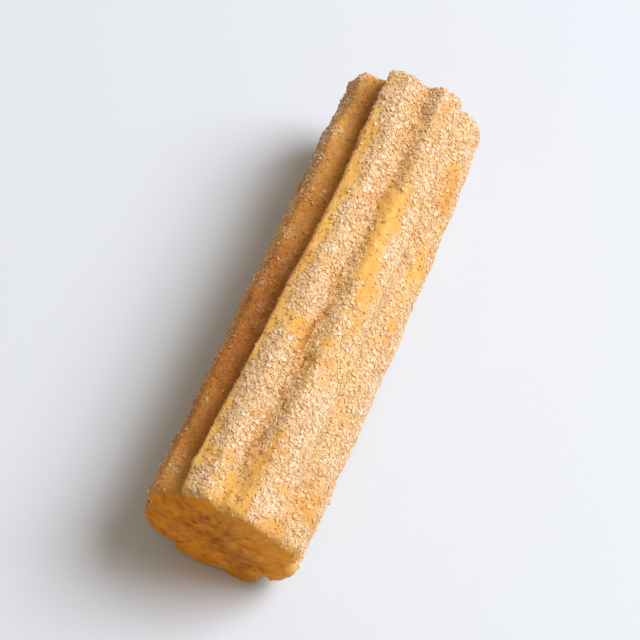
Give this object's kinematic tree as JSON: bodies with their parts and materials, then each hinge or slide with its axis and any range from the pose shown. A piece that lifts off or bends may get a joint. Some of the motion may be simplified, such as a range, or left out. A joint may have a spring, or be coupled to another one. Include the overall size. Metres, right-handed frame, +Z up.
{
  "type": "churro",
  "caption": "Short straight stick of fried star-ridged dough with cut ends, lying on two ridges, coated in cinnamon sugar.",
  "frame": {"origin": "on the resting plane, under the centre of the box round the whole churro", "axes": "+X runs along the churro from its thicker cut end, the one the picture shows, to its other cut end; +Z is up; it lies on two ridges"},
  "size_m": [0.0834, 0.0264, 0.0249],
  "materials": {
    "crust": "fried golden-brown dough skin, dry with a little oil",
    "sugar": "granulated sugar crystals",
    "cinnamon": "ground cinnamon, dull"
  },
  "bodies": {
    "root": {"churro": "crust"}
  },
  "joints": []
}
